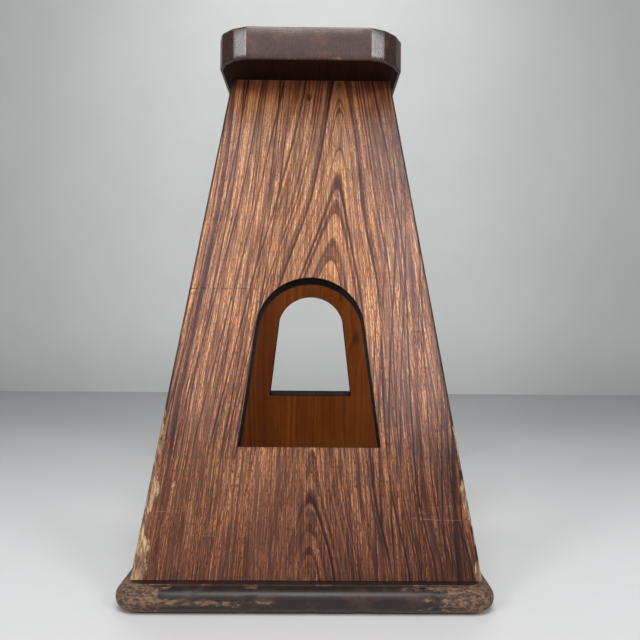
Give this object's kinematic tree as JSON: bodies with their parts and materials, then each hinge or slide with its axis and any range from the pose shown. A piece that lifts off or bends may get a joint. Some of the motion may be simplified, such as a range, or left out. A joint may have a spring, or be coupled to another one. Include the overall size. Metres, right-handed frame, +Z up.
{
  "type": "wooden armrest stand",
  "caption": "Low wooden stand: a narrow top board with facetted corners on inward-leaning end panels with arched openings, on a base board with a bullnose edge.",
  "frame": {"origin": "middle of the base board's underside", "axes": "+Z up, +Y along the stand's length from the front leg panel to the rear one, +X to the right seen from the front end"},
  "size_m": [0.1914, 0.322, 0.3038],
  "materials": {
    "base_wood": "dark lacquer, worn brown at the edges",
    "panel_wood": "reddish-brown lacquer over open grain",
    "top_wood": "dark gloss lacquer",
    "dowel_wood": "bare",
    "screw_steel": "dull"
  },
  "bodies": {
    "root": {"base_board": "base_wood", "front_leg_panel": "panel_wood", "rear_leg_panel": "panel_wood", "top_board": "top_wood", "front_foot_screw_1": "screw_steel", "front_foot_screw_2": "screw_steel", "front_foot_screw_3": "screw_steel", "rear_foot_screw_1": "screw_steel", "rear_foot_screw_2": "screw_steel", "rear_foot_screw_3": "screw_steel", "front_top_dowel_1": "dowel_wood", "front_top_dowel_2": "dowel_wood", "rear_top_dowel_1": "dowel_wood", "rear_top_dowel_2": "dowel_wood"}
  },
  "joints": []
}
